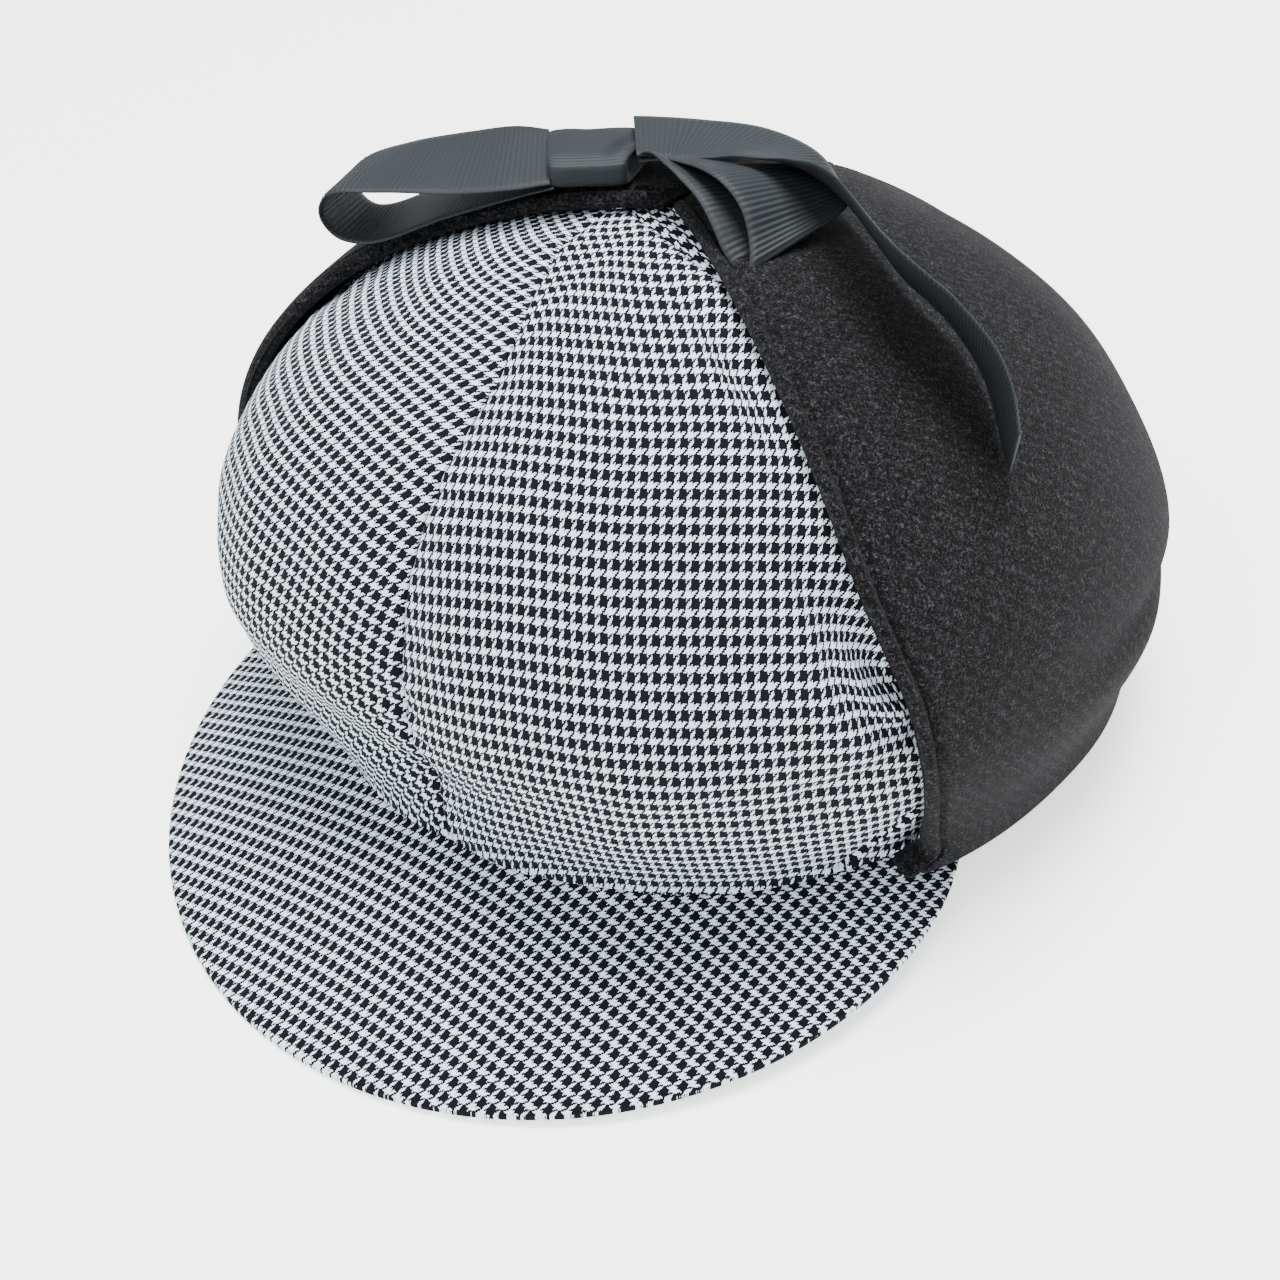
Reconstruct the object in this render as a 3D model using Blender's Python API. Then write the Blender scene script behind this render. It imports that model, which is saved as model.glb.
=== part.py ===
"""Deerstalker hat: six-gore crown, front peak, two tied-up ear flaps and a ribbon bow.

The hat is worked out in its own frame: the middle of the head opening at the
origin, the front towards -Y and the wearer's left towards +X. It is then tipped
back until the peak's edge and the back of the rim both stand on the floor, z = 0,
and moved so that the middle of the whole hat, seen from above, is at x = y = 0.
Run with: blender --background --python part.py
"""

import math

import bmesh
import bpy
from mathutils import Matrix, Vector

MM = 0.001

# Head opening and crown
RIM_HALF_WIDTH = 86 * MM
RIM_HALF_LENGTH = 93 * MM
CROWN_HEIGHT = 110 * MM
BULGE_HEIGHT = 40 * MM
BULGE = 12 * MM
CROWN_LEAN = 15 * MM
CROWN_WALL = 2.2 * MM
SIDE_SEAM_ANGLE = 68.0
BACK_SEAM_ANGLE = 124.0
SEAM_GAP = 0.4 * MM
SEAM_VALLEY = 1.2 * MM
SEAM_VALLEY_ANGLE = 5.0

# Peak
PEAK_LENGTH = 52 * MM
PEAK_DROOP = 28.0
PEAK_SIDE_DROOP = 19.0
PEAK_HALF_ANGLE = 77.0
PEAK_TURN = -3.5
PEAK_FAN = 0.73
PEAK_WALL = 2.6 * MM
PEAK_TUCK = 1.5 * MM
PEAK_GAP = 0.4 * MM

# Ear flaps, folded up over the crown
FLAP_FRONT_ANGLE = 61.5
FLAP_CORNER_SWING = 5.0
FLAP_BACK_ANGLE = 143.0
FLAP_WALL = 3.6 * MM
FLAP_GAP = 0.9 * MM
FLAP_FOLD = 3.5 * MM
FLAP_FOLD_HEIGHT = 11 * MM
FLAP_MEETING_GAP = 2.4 * MM

# Ribbon bow
RIBBON_WIDTH = 25 * MM
RIBBON_WALL = 1.0 * MM
KNOT_WIDTH = 19 * MM
KNOT_DEPTH = 21 * MM
KNOT_HEIGHT = 8 * MM
BOW_GAP = 0.4 * MM
KNOT_SEAT = 1.1 * MM
LEFT_LOOP_REACH = 36 * MM
RIGHT_LOOP_REACH = 38 * MM

# What the floor flattens
REST_FLAT = 1.2 * MM

# Sideways bulge of the crown, in shares of BULGE, against the angle from the front
BULGE_ROUND = [
    # angle, share
    (0, 0.22),
    (14, 0.66),
    (32, 1.18),
    (60, 1.06),
    (90, 1.04),
    (120, 0.86),
    (150, 0.46),
    (180, 0.34),
]

# Shape of the crown's rise from the rim to the bulge and from there to the top
RISE_POWER = 1.7
RISE_CURVE = 0.35
TOP_FLATNESS = 1.85
SHOULDER = 2.12
CROWN_TIP = 1.985

# Outline of the peak: how square its front is and how soon it narrows to its ends
PEAK_TIP = 0.985
PEAK_ROUND = 2.05
PEAK_SHOULDER = 0.72

# Ear flaps: the crown's rise where they start, the ends of their top edges in shares
# of the rim's half length, and how suddenly the lower front corner swings back
FLAP_START = 0.03
FLAP_TOP_FRONT = -0.16
FLAP_TOP_BACK = 0.52
FLAP_CORNER_POWER = 6

# Ribbon loops: reach in shares of the loop's reach, lift and width of RIBBON_WIDTH
LEFT_LOOP = [
    # reach, lift, width
    (0.00, 0.27, 0.78),
    (0.18, 0.36, 0.92),
    (0.45, 0.46, 1.00),
    (0.75, 0.53, 1.00),
    (0.95, 0.53, 1.00),
    (1.03, 0.40, 1.00),
    (0.95, 0.20, 1.00),
    (0.65, 0.08, 1.00),
    (0.30, 0.08, 0.92),
    (0.00, 0.15, 0.78),
]
RIGHT_LOOP = [
    # reach, lift, width
    (0.00, 0.16, 0.78),
    (0.20, 0.18, 0.88),
    (0.50, 0.21, 1.00),
    (0.80, 0.20, 1.00),
    (0.98, 0.13, 1.00),
    (0.94, 0.07, 1.00),
    (0.65, 0.06, 1.00),
    (0.30, 0.07, 0.92),
    (0.00, 0.11, 0.78),
]

# Ribbon tails after they leave the knot: the place under each row seen from above,
# in shares of the rim's half width and half length, how far the ribbon's middle
# stands off the flap and its width in shares of RIBBON_WIDTH, and its twist
LEFT_TAIL = [
    # side, back, lift, width, twist
    (-0.03, -0.02, 0.30, 0.90, -2),
    (0.06, 0.05, 0.31, 1.00, -8),
    (0.20, 0.06, 0.38, 1.00, -20),
    (0.36, -0.04, 0.45, 1.00, -42),
    (0.53, -0.14, 0.47, 1.00, -46),
    (0.67, -0.16, 0.47, 1.00, -53),
    (0.76, -0.18, 0.46, 1.00, -57),
    (0.83, -0.22, 0.45, 1.00, -60),
    (0.88, -0.26, 0.44, 1.00, -60),
]
RIGHT_TAIL = [
    # side, back, lift, width, twist
    (-0.35, 0.10, 0.10, 0.95, 0),
    (-0.43, 0.26, 0.09, 1.00, 0),
    (-0.53, 0.40, 0.08, 1.00, 0),
    (-0.63, 0.49, 0.08, 1.00, 0),
]

# Where the knot sits, seen from above, and which way each piece leaves it
KNOT_SIDE = -17.5 * MM
KNOT_FORWARD = 13.5 * MM
KNOT_HEADING = 40.0
LEFT_LOOP_HEADING = 207.0
RIGHT_LOOP_HEADING = -8.0
LEFT_TAIL_LIFT = 0.30
RIGHT_TAIL_LIFT = 0.16

# The share of a loop's reach over which it turns from the knot's side to its heading,
# how narrow a tail is where it leaves the knot, and how round the knot's edges are
LOOP_TURN = 0.55
TAIL_START_WIDTH = 0.8
KNOT_ROUNDING = 0.3

SEARCH_STEPS = 40
SEARCH_PACE = 0.4

GORE_COLUMNS = 8
GORE_ROWS = 13
PEAK_COLUMNS = 30
PEAK_ROWS = 4
FLAP_COLUMNS = 12
FLAP_ROWS = 16
RIBBON_COLUMNS = 2
RIBBON_STEPS = 3


def smooth_row(rows, place):
    """The row at a place along a table, 0 to its last index, on a smooth curve through all rows."""
    last = len(rows) - 1
    first = min(int(place), last - 1)
    share = place - first

    def knot(index):
        if 0 <= index <= last:
            return Vector(rows[index])
        inner, outer = (1, 0) if index < 0 else (last - 1, last)
        return 2 * Vector(rows[outer]) - Vector(rows[inner])

    before, start, end, after = (knot(first + step) for step in (-1, 0, 1, 2))
    return 0.5 * (
        2 * start
        + (end - before) * share
        + (2 * before - 5 * start + 4 * end - after) * share**2
        + (3 * start - before - 3 * end + after) * share**3
    )


def share_at(rows, key):
    """The second column of a two-column table at a value of its first column."""
    for index, (low, high) in enumerate(zip(rows, rows[1:])):
        if key <= high[0]:
            return smooth_row(rows, index + (key - low[0]) / (high[0] - low[0]))[1]
    return rows[-1][1]


def rim_point(angle):
    turn = math.radians(angle)
    return Vector((RIM_HALF_WIDTH * math.sin(turn), -RIM_HALF_LENGTH * math.cos(turn), 0))


def crown_bulge(angle, valleys):
    """How far the crown stands out from the rim at its widest height."""
    bulge = BULGE * share_at(BULGE_ROUND, abs(angle))
    if valleys:
        from_seam = min(abs(abs(angle) - seam) for seam in SEAMS)
        bulge -= SEAM_VALLEY * math.exp(-((from_seam / SEAM_VALLEY_ANGLE) ** 2))
    return bulge


def crown_point(angle, rise, out=0.0, valleys=False):
    """A point on the crown: rise is 0 at the rim, 1 at the bulge and 2 at the top."""
    foot = rim_point(angle)
    bulge = crown_bulge(angle, valleys)
    if rise < 1:
        turn = rise * math.pi / 2
        scale = 1 + (bulge * math.sin(turn) ** RISE_POWER + out) / foot.length
        height = BULGE_HEIGHT * (RISE_CURVE * (1 - math.cos(turn)) + (1 - RISE_CURVE) * rise)
    else:
        turn = (rise - 1) * math.pi / 2
        scale = (1 + (bulge + out) / foot.length) * math.cos(turn) ** (2 / SHOULDER)
        climb = CROWN_HEIGHT + out - BULGE_HEIGHT
        height = BULGE_HEIGHT + climb * math.sin(turn) ** (2 / TOP_FLATNESS)
    return Vector((foot.x * scale, foot.y * scale - CROWN_LEAN * height / CROWN_HEIGHT, height))


def disc_of(angle, rise):
    """The crown spread flat as a disc: its rim at radius 1 and its top at the middle."""
    turn = math.radians(angle)
    return Vector((math.sin(turn), -math.cos(turn))) * (2 - rise) / 2


def disc_point(spot, out=0.0):
    angle = math.degrees(math.atan2(spot.x, -spot.y))
    return crown_point(angle, 2 - 2 * spot.length, out)


def disc_under(x, y):
    """The disc's spot whose crown point lies at x, y seen from above, found in small steps."""
    spot = Vector((x / RIM_HALF_WIDTH, y / RIM_HALF_LENGTH)) / 2
    for _ in range(SEARCH_STEPS):
        here = disc_point(spot)
        miss = Vector(((x - here.x) / RIM_HALF_WIDTH, (y - here.y) / RIM_HALF_LENGTH))
        spot += miss * SEARCH_PACE
    return spot


def peak_point(share, reach, under=False):
    """A point on the peak: share runs -1 to 1 round the rim, reach 0 to 1 to the edge."""
    angle = share * PEAK_HALF_ANGLE + PEAK_TURN
    fan = math.radians(angle * PEAK_FAN)
    length = PEAK_LENGTH * (1 - (abs(share) * PEAK_TIP) ** PEAK_ROUND) ** PEAK_SHOULDER
    droop = math.radians(PEAK_DROOP + (PEAK_SIDE_DROOP - PEAK_DROOP) * share**2)
    ahead = Vector((math.sin(fan), -math.cos(fan), 0))
    along = ahead * math.cos(droop) - Vector((0, 0, math.sin(droop)))
    down = -ahead * math.sin(droop) - Vector((0, 0, math.cos(droop)))
    foot = rim_point(angle)
    foot -= foot.normalized() * PEAK_TUCK
    point = foot + along * (PEAK_TUCK + length) * reach - Vector((0, 0, PEAK_GAP))
    return point + down * PEAK_WALL if under else point


def rest_matrix():
    """Tips the hat until the peak's middle and the back of the rim are level, on z = 0."""
    tip = peak_point(0, 1, under=True)
    back = rim_point(180)
    tilt = math.atan2(back.z - tip.z, back.y - tip.y)
    turned = Matrix.Rotation(-tilt, 4, "X")
    floor = min((turned @ tip).z, (turned @ back).z) + REST_FLAT
    return Matrix.Translation((0, 0, -floor)) @ turned


def flatten_base(mesh):
    """Cuts away what would stand below the floor and closes the cut with a flat face."""
    everything = mesh.verts[:] + mesh.edges[:] + mesh.faces[:]
    cut = bmesh.ops.bisect_plane(
        mesh, geom=everything, dist=1e-7, plane_co=(0, 0, 0), plane_no=(0, 0, 1), clear_inner=True
    )["geom_cut"]
    for vert in [item for item in cut if isinstance(item, bmesh.types.BMVert)]:
        vert.co.z = 0
    edges = [item for item in cut if isinstance(item, bmesh.types.BMEdge)]
    if edges:
        bmesh.ops.holes_fill(mesh, edges=edges)


def shell(name, columns, rows, place, material):
    """A closed wall: place(u, v, inner) gives each point, with u and v from 0 to 1."""
    mesh = bmesh.new()
    bmesh.ops.create_grid(mesh, x_segments=columns, y_segments=rows, size=0.5)
    made = bmesh.ops.extrude_face_region(mesh, geom=mesh.faces[:])["geom"]
    inner = {item for item in made if isinstance(item, bmesh.types.BMVert)}
    for vert in mesh.verts:
        vert.co = place(vert.co.x + 0.5, vert.co.y + 0.5, vert in inner)
    add_piece(name, mesh, material)


def add_piece(name, mesh, material):
    bmesh.ops.transform(mesh, matrix=REST, verts=mesh.verts)
    bmesh.ops.recalc_face_normals(mesh, faces=mesh.faces)
    flatten_base(mesh)
    bmesh.ops.recalc_face_normals(mesh, faces=mesh.faces)
    data = bpy.data.meshes.new(name)
    mesh.to_mesh(data)
    mesh.free()
    data.materials.append(material)
    data.shade_smooth()
    data.set_sharp_from_angle(angle=math.radians(40))
    HAT.objects.link(bpy.data.objects.new(name, data))


def add_gore(name, seam, next_seam, material):
    """One gore of the crown, from its first seam angle to its next."""

    def place(u, v, inner):
        rise = CROWN_TIP * v
        edge = crown_point(seam, rise)
        core = Vector((0, -CROWN_LEAN * edge.z / CROWN_HEIGHT, edge.z))
        gap = math.degrees(0.5 * SEAM_GAP / (edge - core).length)
        angle = seam + gap + (next_seam - seam - 2 * gap) * u
        return crown_point(angle, rise, -CROWN_WALL if inner else 0, valleys=True)

    shell(name, GORE_COLUMNS, GORE_ROWS, place, material)


def add_peak(material):
    def place(u, v, inner):
        return peak_point(2 * u - 1, v, under=inner)

    shell("peak", PEAK_COLUMNS, PEAK_ROWS, place, material)


def add_flap(name, side, material):
    """An ear flap: it leaves the rim, folds outwards and lies over the crown to the top."""
    middle_edge = side * FLAP_MEETING_GAP / 2
    front_top = disc_under(middle_edge, FLAP_TOP_FRONT * RIM_HALF_LENGTH)
    back_top = disc_under(middle_edge, FLAP_TOP_BACK * RIM_HALF_LENGTH)

    def place(u, v, inner):
        front = FLAP_FRONT_ANGLE + FLAP_CORNER_SWING * (1 - v) ** FLAP_CORNER_POWER
        angle = front + (FLAP_BACK_ANGLE - front) * u
        low = disc_of(side * angle, FLAP_START)
        spot = low.lerp(front_top.lerp(back_top, u), v)
        out = FLAP_GAP
        if not inner:
            height = disc_point(spot).z
            out += FLAP_WALL + FLAP_FOLD * math.exp(-((height / FLAP_FOLD_HEIGHT) ** 2))
        return disc_point(spot, out)

    shell(name, FLAP_COLUMNS, FLAP_ROWS, place, material)


def flap_top(spot, lift):
    """A point over the flaps' outer face, at a lift above it."""
    return disc_point(spot, FLAP_GAP + FLAP_WALL + lift)


def heading_line(heading):
    turn = math.radians(heading)
    return Vector((math.cos(turn), math.sin(turn), 0))


def ribbon_above(over, lift):
    """A point of a ribbon's middle line, over a place seen from above."""
    return flap_top(disc_under(over.x, over.y), lift * RIBBON_WIDTH)


def add_ribbon(name, line, across, widths, material):
    """A flat ribbon along a line of points, with a width direction and width for each."""
    last = len(line) - 1

    def place(u, v, inner):
        index = round(v * last)
        ahead = line[min(index + 1, last)] - line[max(index - 1, 0)]
        wide = across[index].normalized()
        off = ahead.cross(wide).normalized() * RIBBON_WALL / 2
        middle = line[index] + wide * RIBBON_WIDTH * widths[index] * (u - 0.5)
        return middle - off if inner else middle + off

    shell(name, RIBBON_COLUMNS, last, place, material)


def add_loop(name, rows, reach, heading, material):
    """A loop of the bow, out from the knot and back under itself."""
    out = heading_line(heading)
    face = heading_line(KNOT_HEADING)
    face = face if face.dot(out) > 0 else -face
    start = KNOT_PLACE + face * (KNOT_WIDTH / 2 + BOW_GAP)
    line, across, widths = [], [], []
    for step in range((len(rows) - 1) * RIBBON_STEPS + 1):
        share, lift, width = smooth_row(rows, step / RIBBON_STEPS)
        line.append(ribbon_above(start + out * share * reach, lift))
        ahead = face.lerp(out, min(max(share / LOOP_TURN, 0), 1))
        across.append(Vector((-ahead.y, ahead.x, 0)))
        widths.append(width)
    add_ribbon(name, line, across, widths, material)


def add_tail(name, rows, start, face, lift, material):
    """A free end of the ribbon, from the knot down over the flap, twisted as it hangs."""
    first = (start.x / RIM_HALF_WIDTH, start.y / RIM_HALF_LENGTH, lift, TAIL_START_WIDTH, 0)
    rows = [first, *rows]
    spots, line, rolls, widths = [], [], [], []
    for step in range((len(rows) - 1) * RIBBON_STEPS + 1):
        side, back, lift, width, twist = smooth_row(rows, step / RIBBON_STEPS)
        spots.append(disc_under(side * RIM_HALF_WIDTH, back * RIM_HALF_LENGTH))
        line.append(flap_top(spots[-1], lift * RIBBON_WIDTH))
        rolls.append(math.radians(twist))
        widths.append(width)
    last = len(line) - 1
    across = [Vector((-face.y, face.x, 0))]
    for index in range(1, last + 1):
        ahead = line[min(index + 1, last)] - line[index - 1]
        off = flap_top(spots[index], RIBBON_WIDTH) - flap_top(spots[index], 0)
        wide = off.cross(ahead).normalized()
        settled = min(index / RIBBON_STEPS, 1)
        wide = Matrix.Rotation(rolls[index], 3, ahead.normalized()) @ wide
        across.append(across[0].lerp(wide, settled))
    add_ribbon(name, line, across, widths, material)


def add_knot(material):
    """The ribbon wrapped round the bow's middle: a soft, rounded pad."""
    mesh = bmesh.new()
    bmesh.ops.create_cube(mesh, size=1)
    bmesh.ops.scale(mesh, vec=(KNOT_WIDTH, KNOT_DEPTH, KNOT_HEIGHT), verts=mesh.verts)
    bmesh.ops.bevel(
        mesh, geom=mesh.edges[:], offset=KNOT_ROUNDING * KNOT_HEIGHT, segments=3, profile=0.5,
        affect="EDGES", clamp_overlap=True,
    )
    seat = disc_under(KNOT_PLACE.x, KNOT_PLACE.y)
    foot = flap_top(seat, KNOT_SEAT)
    up = (flap_top(seat, RIBBON_WIDTH) - foot).normalized()
    turned = Vector((0, 0, 1)).rotation_difference(up).to_matrix().to_4x4()
    turned = turned @ Matrix.Rotation(math.radians(KNOT_HEADING), 4, "Z")
    moved = Matrix.Translation(foot + up * KNOT_HEIGHT / 2)
    bmesh.ops.transform(mesh, matrix=moved @ turned, verts=mesh.verts)
    add_piece("ribbon_knot", mesh, material)


def centre_hat():
    """Moves every piece so that the whole hat's middle, seen from above, is the origin."""
    spots = [vert.co for piece in HAT.objects for vert in piece.data.vertices]
    sides = [[spot[axis] for spot in spots] for axis in (0, 1)]
    shift = [-(min(side) + max(side)) / 2 for side in sides]
    for piece in HAT.objects:
        piece.data.transform(Matrix.Translation((*shift, 0)))


def make_material(name, colour, roughness):
    material = bpy.data.materials.new(name)
    material.use_nodes = True
    shader = material.node_tree.nodes["Principled BSDF"]
    shader.inputs["Base Color"].default_value = (*colour, 1)
    shader.inputs["Roughness"].default_value = roughness
    shader.inputs["Metallic"].default_value = 0
    return material


for old in list(bpy.data.objects):
    bpy.data.objects.remove(old)

HAT = bpy.data.collections.new("deerstalker_hat")
bpy.context.scene.collection.children.link(HAT)
REST = rest_matrix()
SEAMS = (0, SIDE_SEAM_ANGLE, BACK_SEAM_ANGLE, 180)
KNOT_PLACE = Vector((KNOT_SIDE, -KNOT_FORWARD, 0))

checked = make_material("houndstooth_cotton", (0.42, 0.44, 0.46), 0.9)
wool = make_material("black_wool", (0.022, 0.022, 0.024), 0.95)
grosgrain = make_material("grosgrain_ribbon", (0.06, 0.08, 0.09), 0.7)

for gore_name, seam, next_seam in zip(("front", "side", "back"), SEAMS, SEAMS[1:]):
    add_gore(f"crown_{gore_name}_left", seam, next_seam, checked)
    add_gore(f"crown_{gore_name}_right", -next_seam, -seam, checked)
add_peak(checked)
add_flap("ear_flap_left", 1, wool)
add_flap("ear_flap_right", -1, wool)
add_knot(grosgrain)
add_loop("bow_loop_right", LEFT_LOOP, LEFT_LOOP_REACH, LEFT_LOOP_HEADING, grosgrain)
add_loop("bow_loop_left", RIGHT_LOOP, RIGHT_LOOP_REACH, RIGHT_LOOP_HEADING, grosgrain)
knot_ahead = heading_line(KNOT_HEADING)
knot_back = heading_line(KNOT_HEADING + 90)
right_side = KNOT_PLACE + knot_ahead * (KNOT_WIDTH / 2 + BOW_GAP)
back_side = KNOT_PLACE + knot_back * (KNOT_DEPTH / 2 + BOW_GAP)
add_tail("bow_tail_left", LEFT_TAIL, right_side, knot_ahead, LEFT_TAIL_LIFT, grosgrain)
add_tail("bow_tail_right", RIGHT_TAIL, back_side, knot_back, RIGHT_TAIL_LIFT, grosgrain)
centre_hat()
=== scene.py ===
import math

import bmesh
import bpy
import numpy as np
from mathutils import Matrix, Vector, noise


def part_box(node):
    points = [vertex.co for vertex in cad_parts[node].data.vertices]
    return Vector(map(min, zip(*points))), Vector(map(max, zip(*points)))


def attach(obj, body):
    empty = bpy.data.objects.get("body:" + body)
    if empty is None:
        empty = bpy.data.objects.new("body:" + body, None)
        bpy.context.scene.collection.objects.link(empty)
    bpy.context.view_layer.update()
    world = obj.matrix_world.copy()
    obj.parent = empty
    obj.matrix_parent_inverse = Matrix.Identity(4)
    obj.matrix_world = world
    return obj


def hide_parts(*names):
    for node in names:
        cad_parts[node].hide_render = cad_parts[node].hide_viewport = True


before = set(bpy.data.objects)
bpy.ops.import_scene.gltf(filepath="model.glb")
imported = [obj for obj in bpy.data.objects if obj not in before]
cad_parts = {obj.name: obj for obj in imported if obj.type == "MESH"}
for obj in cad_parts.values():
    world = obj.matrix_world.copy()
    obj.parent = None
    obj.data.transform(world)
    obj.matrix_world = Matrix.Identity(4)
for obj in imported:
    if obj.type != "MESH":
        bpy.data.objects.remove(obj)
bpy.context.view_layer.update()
mm = 0.001

# The hat's own frame: middle of the head opening at the origin, front towards -Y, the
# wearer's left towards +X. Lengths are millimetres and angles degrees, as in the solids.
hat = {
    "rimHalfWidth": 86, "rimHalfLength": 93, "crownHeight": 110, "bulgeHeight": 40, "bulge": 12,
    "lean": 15, "tip": 1.985, "risePower": 1.7, "riseCurve": 0.35, "topFlatness": 1.85, "shoulder": 2.12,
    "sideSeam": 68, "backSeam": 124, "seamValley": 1.2, "seamValleyAngle": 5,
    "peakLength": 52, "peakDroop": 28, "peakSideDroop": 19, "peakHalfAngle": 77, "peakTurn": -3.5,
    "peakFan": 0.73, "peakWall": 2.6, "peakTuck": 1.5, "peakGap": 0.4,
    "peakTip": 0.985, "peakRound": 2.05, "peakShoulder": 0.72, "restFlat": 1.2,
}
# How far the crown bulges, as a share of the bulge, at angles counted from the front
bulgeRound = [
    (0, 0.22), (14, 0.66), (32, 1.18), (60, 1.06), (90, 1.04), (120, 0.86), (150, 0.46), (180, 0.34),
]
seamAngles = (0, hat["sideSeam"], hat["backSeam"], 180)


# A smooth line through a table's rows, at a place counted in rows
def smoothRow(rows, place):
    last = len(rows) - 1
    first = min(int(place), last - 1)
    share = place - first

    def knot(index):
        if 0 <= index <= last:
            return Vector(rows[index])
        inner, outer = (1, 0) if index < 0 else (last - 1, last)
        return 2 * Vector(rows[outer]) - Vector(rows[inner])

    before, start, end, after = (knot(first + step) for step in (-1, 0, 1, 2))
    bend = 2 * before - 5 * start + 4 * end - after
    twist = 3 * start - before - 3 * end + after
    return 0.5 * (2 * start + (end - before) * share + bend * share**2 + twist * share**3)


def shareAt(rows, key):
    for index, (low, high) in enumerate(zip(rows, rows[1:])):
        if key <= high[0]:
            return smoothRow(rows, index + (key - low[0]) / (high[0] - low[0]))[1]
    return rows[-1][1]


def rimPoint(angle):
    turn = math.radians(angle)
    return Vector((hat["rimHalfWidth"] * math.sin(turn), -hat["rimHalfLength"] * math.cos(turn), 0))


bulgeTable = [hat["bulge"] * shareAt(bulgeRound, step / 2) for step in range(361)]


def bulgeAt(angle):
    place = min(abs(angle), 180) * 2
    low = min(int(place), 359)
    return bulgeTable[low] + (bulgeTable[low + 1] - bulgeTable[low]) * (place - low)


# rise is 0 at the rim, 1 at the bulge and 2 at the top, and out is how far off the crown
def crownPoint(angle, rise, out=0.0):
    foot = rimPoint(angle)
    bulge = bulgeAt(angle)
    if rise < 1:
        turn = rise * math.pi / 2
        scale = 1 + (bulge * math.sin(turn) ** hat["risePower"] + out) / foot.length
        curved = hat["riseCurve"] * (1 - math.cos(turn)) + (1 - hat["riseCurve"]) * rise
        height = hat["bulgeHeight"] * curved
    else:
        turn = (rise - 1) * math.pi / 2
        scale = (1 + (bulge + out) / foot.length) * math.cos(turn) ** (2 / hat["shoulder"])
        climb = hat["crownHeight"] + out - hat["bulgeHeight"]
        height = hat["bulgeHeight"] + climb * math.sin(turn) ** (2 / hat["topFlatness"])
    return Vector((foot.x * scale, foot.y * scale - hat["lean"] * height / hat["crownHeight"], height))


# The crown spread flat as a disc, its rim at radius 1: straight lines there are the flaps' edges
def discOf(angle, rise):
    turn = math.radians(angle)
    return Vector((math.sin(turn), -math.cos(turn))) * (2 - rise) / 2


def discPoint(spot, out=0.0):
    return crownPoint(math.degrees(math.atan2(spot.x, -spot.y)), 2 - 2 * min(spot.length, 1), out)


def discUnder(x, y):
    spot = Vector((x / hat["rimHalfWidth"], y / hat["rimHalfLength"])) / 2
    for _ in range(40):
        here = discPoint(spot)
        spot += 0.4 * Vector(((x - here.x) / hat["rimHalfWidth"], (y - here.y) / hat["rimHalfLength"]))
    return spot


def peakPoint(share, reach, under=0.0):
    angle = share * hat["peakHalfAngle"] + hat["peakTurn"]
    fan = math.radians(angle * hat["peakFan"])
    rounded = (abs(share) * hat["peakTip"]) ** hat["peakRound"]
    length = hat["peakLength"] * (1 - rounded) ** hat["peakShoulder"]
    droop = math.radians(hat["peakDroop"] + (hat["peakSideDroop"] - hat["peakDroop"]) * share**2)
    ahead = Vector((math.sin(fan), -math.cos(fan), 0))
    along = ahead * math.cos(droop) - Vector((0, 0, math.sin(droop)))
    down = -ahead * math.sin(droop) - Vector((0, 0, math.cos(droop)))
    foot = rimPoint(angle)
    foot -= foot.normalized() * hat["peakTuck"]
    return foot + along * (hat["peakTuck"] + length) * reach - Vector((0, 0, hat["peakGap"])) + down * under


# The hat stands on its peak and the back of its rim. The solids' boxes say where that is.
def findRest():
    tip, back = peakPoint(0, 1, hat["peakWall"]), rimPoint(180)
    turned = Matrix.Rotation(-math.atan2(back.z - tip.z, back.y - tip.y), 4, "X")
    floor = min((turned @ tip).z, (turned @ back).z) + hat["restFlat"]
    foremost = min((turned @ peakPoint(step / 50, 1)).y for step in range(-25, 26))
    across = (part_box("crown_back_left")[0][0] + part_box("crown_back_right")[1][0]) / 2
    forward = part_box("peak")[0][1] / mm - foremost
    return Matrix.Scale(mm, 4) @ Matrix.Translation((across / mm, forward, -floor)) @ turned


rest = findRest()
print("stage: hat frame found,", [round(value, 5) for value in rest.to_translation()])


def hexColour(code):
    def linear(part):
        value = int(part, 16) / 255
        return value / 12.92 if value <= 0.04045 else ((value + 0.055) / 1.055) ** 2.4

    return (linear(code[1:3]), linear(code[3:5]), linear(code[5:7]), 1)


def addNode(tree, kind, sockets=None, **settings):
    node = tree.nodes.new(kind)
    for key, value in settings.items():
        setattr(node, key, value)
    for key, value in (sockets or {}).items():
        if isinstance(value, bpy.types.NodeSocket):
            tree.links.new(value, node.inputs[key])
        else:
            node.inputs[key].default_value = value
    return node


def startMaterial(name, **values):
    material = bpy.data.materials.new(name)
    material.use_nodes = True
    shader = material.node_tree.nodes["Principled BSDF"]
    for key, value in values.items():
        shader.inputs[key].default_value = value
    return material, material.node_tree, shader


# Cotton houndstooth, yarn-dyed and woven in 2/2 twill: four dark and four light threads each
# way, which give the broken check with pointed teeth. The repeat is 2.4 x 3.3 mm on the hat.
# The eye sees a crisp matt check of blue-white and near-black with soft, uneven edges.
houndstooth = {
    "repeatAcross": 2.38, "repeatAlong": 3.3, "threads": 8, "white": "#E6F3FC", "black": "#0A0B12",
    "waver": 0.32, "darkSpread": 0.52, "threadDepth": 0.12,
}


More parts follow.
